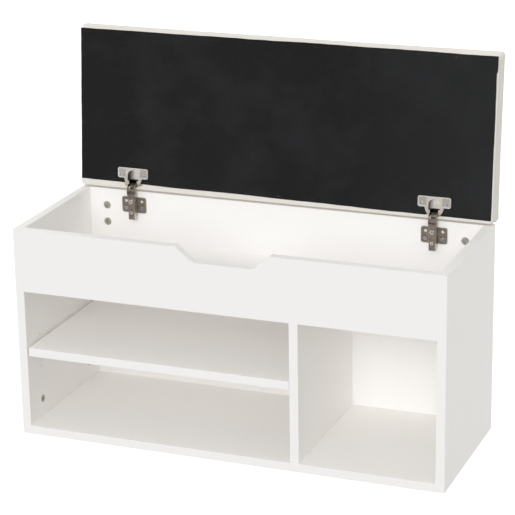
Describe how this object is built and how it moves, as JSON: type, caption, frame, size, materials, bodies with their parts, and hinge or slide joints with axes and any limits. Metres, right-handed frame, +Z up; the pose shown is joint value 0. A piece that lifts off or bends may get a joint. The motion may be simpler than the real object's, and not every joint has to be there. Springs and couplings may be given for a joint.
{
  "type": "entryway bench",
  "caption": "Storage bench with a padded lift-up lid on concealed hinges over a top bin, an open compartment with a shelf, and an undivided tall compartment.",
  "frame": {"origin": "middle of the underside of the carcass, which stands on the floor", "axes": "+X along the bench to the right as seen from the front, -Y towards the front, +Z up"},
  "size_m": [0.8, 0.3384, 0.6932],
  "materials": {
    "white_melamine": "white melamine-faced board, satin",
    "white_hardboard": "white lacquered hardboard, satin",
    "cam_zinc": "die-cast zinc, tumbled, dull",
    "screw_steel": "zinc-plated steel",
    "beech_dowel": "plain beech",
    "lid_chipboard": "raw chipboard",
    "lid_foam": "polyurethane foam",
    "lid_upholstery": "cream upholstery cover, matt",
    "black_nonwoven": "black non-woven cloth, matt",
    "hinge_nickel": "nickel-plated pressed steel, bright",
    "hinge_nickel_dark": "nickel-plated pressed steel, slightly dull"
  },
  "bodies": {
    "carcass": {"bottom_panel": "white_melamine", "left_side_panel": "white_melamine", "right_side_panel": "white_melamine", "divider_panel": "white_melamine", "bin_floor": "white_melamine", "bin_front_panel": "white_melamine", "bin_back_panel": "white_melamine", "lower_back_panel": "white_hardboard", "shelf_supports": "screw_steel", "side_panel_cam_locks": "cam_zinc", "bin_floor_cam_locks": "cam_zinc", "divider_cam_locks": "cam_zinc", "bin_back_cam_locks": "cam_zinc", "bin_front_cam_locks": "cam_zinc", "side_panel_cam_bolts": "screw_steel", "bin_floor_cam_bolts": "screw_steel", "divider_cam_bolts": "screw_steel", "bin_back_cam_bolts": "screw_steel", "bin_front_cam_bolts": "screw_steel", "side_panel_dowels": "beech_dowel", "bin_floor_dowels": "beech_dowel", "divider_dowels": "beech_dowel", "left_hinge_plate": "hinge_nickel_dark", "left_hinge_plate_screws": "screw_steel", "left_hinge_arm": "hinge_nickel_dark", "left_hinge_arm_screws": "screw_steel", "left_hinge_arm_pins": "screw_steel", "right_hinge_plate": "hinge_nickel_dark", "right_hinge_plate_screws": "screw_steel", "right_hinge_arm": "hinge_nickel_dark", "right_hinge_arm_screws": "screw_steel", "right_hinge_arm_pins": "screw_steel"},
    "hinge_outer_links": {"left_outer_link": "hinge_nickel_dark", "right_outer_link": "hinge_nickel_dark"},
    "hinge_inner_links": {"left_inner_link": "hinge_nickel_dark", "right_inner_link": "hinge_nickel_dark"},
    "lid": {"lid_board": "lid_chipboard", "lid_foam": "lid_foam", "lid_cover": "lid_upholstery", "lid_dust_cover": "black_nonwoven", "dust_cover_staples": "screw_steel", "left_hinge_cup": "hinge_nickel", "left_hinge_cup_pins": "screw_steel", "left_hinge_cup_screws": "screw_steel", "right_hinge_cup": "hinge_nickel", "right_hinge_cup_pins": "screw_steel", "right_hinge_cup_screws": "screw_steel"},
    "shelf_board": {"shelf": "white_melamine"}
  },
  "joints": [
    {"name": "outer_link_pivot", "type": "hinge", "parent": "carcass", "child": "hinge_outer_links", "pos_m": [0, 0.1227, 0.38434], "axis": [1, 0, 0], "range_deg": [-25.5, 0]},
    {"name": "lid_pivot", "type": "hinge", "parent": "hinge_outer_links", "child": "lid", "pos_m": [0, 0.13437, 0.40358], "axis": [1, 0, 0], "range_deg": [0, 120.03]},
    {"name": "inner_link_pivot", "type": "hinge", "parent": "carcass", "child": "hinge_inner_links", "pos_m": [0, 0.1292, 0.3838], "axis": [1, 0, 0], "range_deg": [-6.3, 0]},
    {"name": "shelf_slide", "type": "slide", "parent": "carcass", "child": "shelf_board", "axis": [0, -1, 0], "range_m": [0, 0.28]}
  ],
  "couplings": [
    {"joint": "outer_link_pivot", "follows": "lid_pivot", "ratio": -0.21188},
    {"joint": "inner_link_pivot", "follows": "lid_pivot", "ratio": -0.051652}
  ]
}
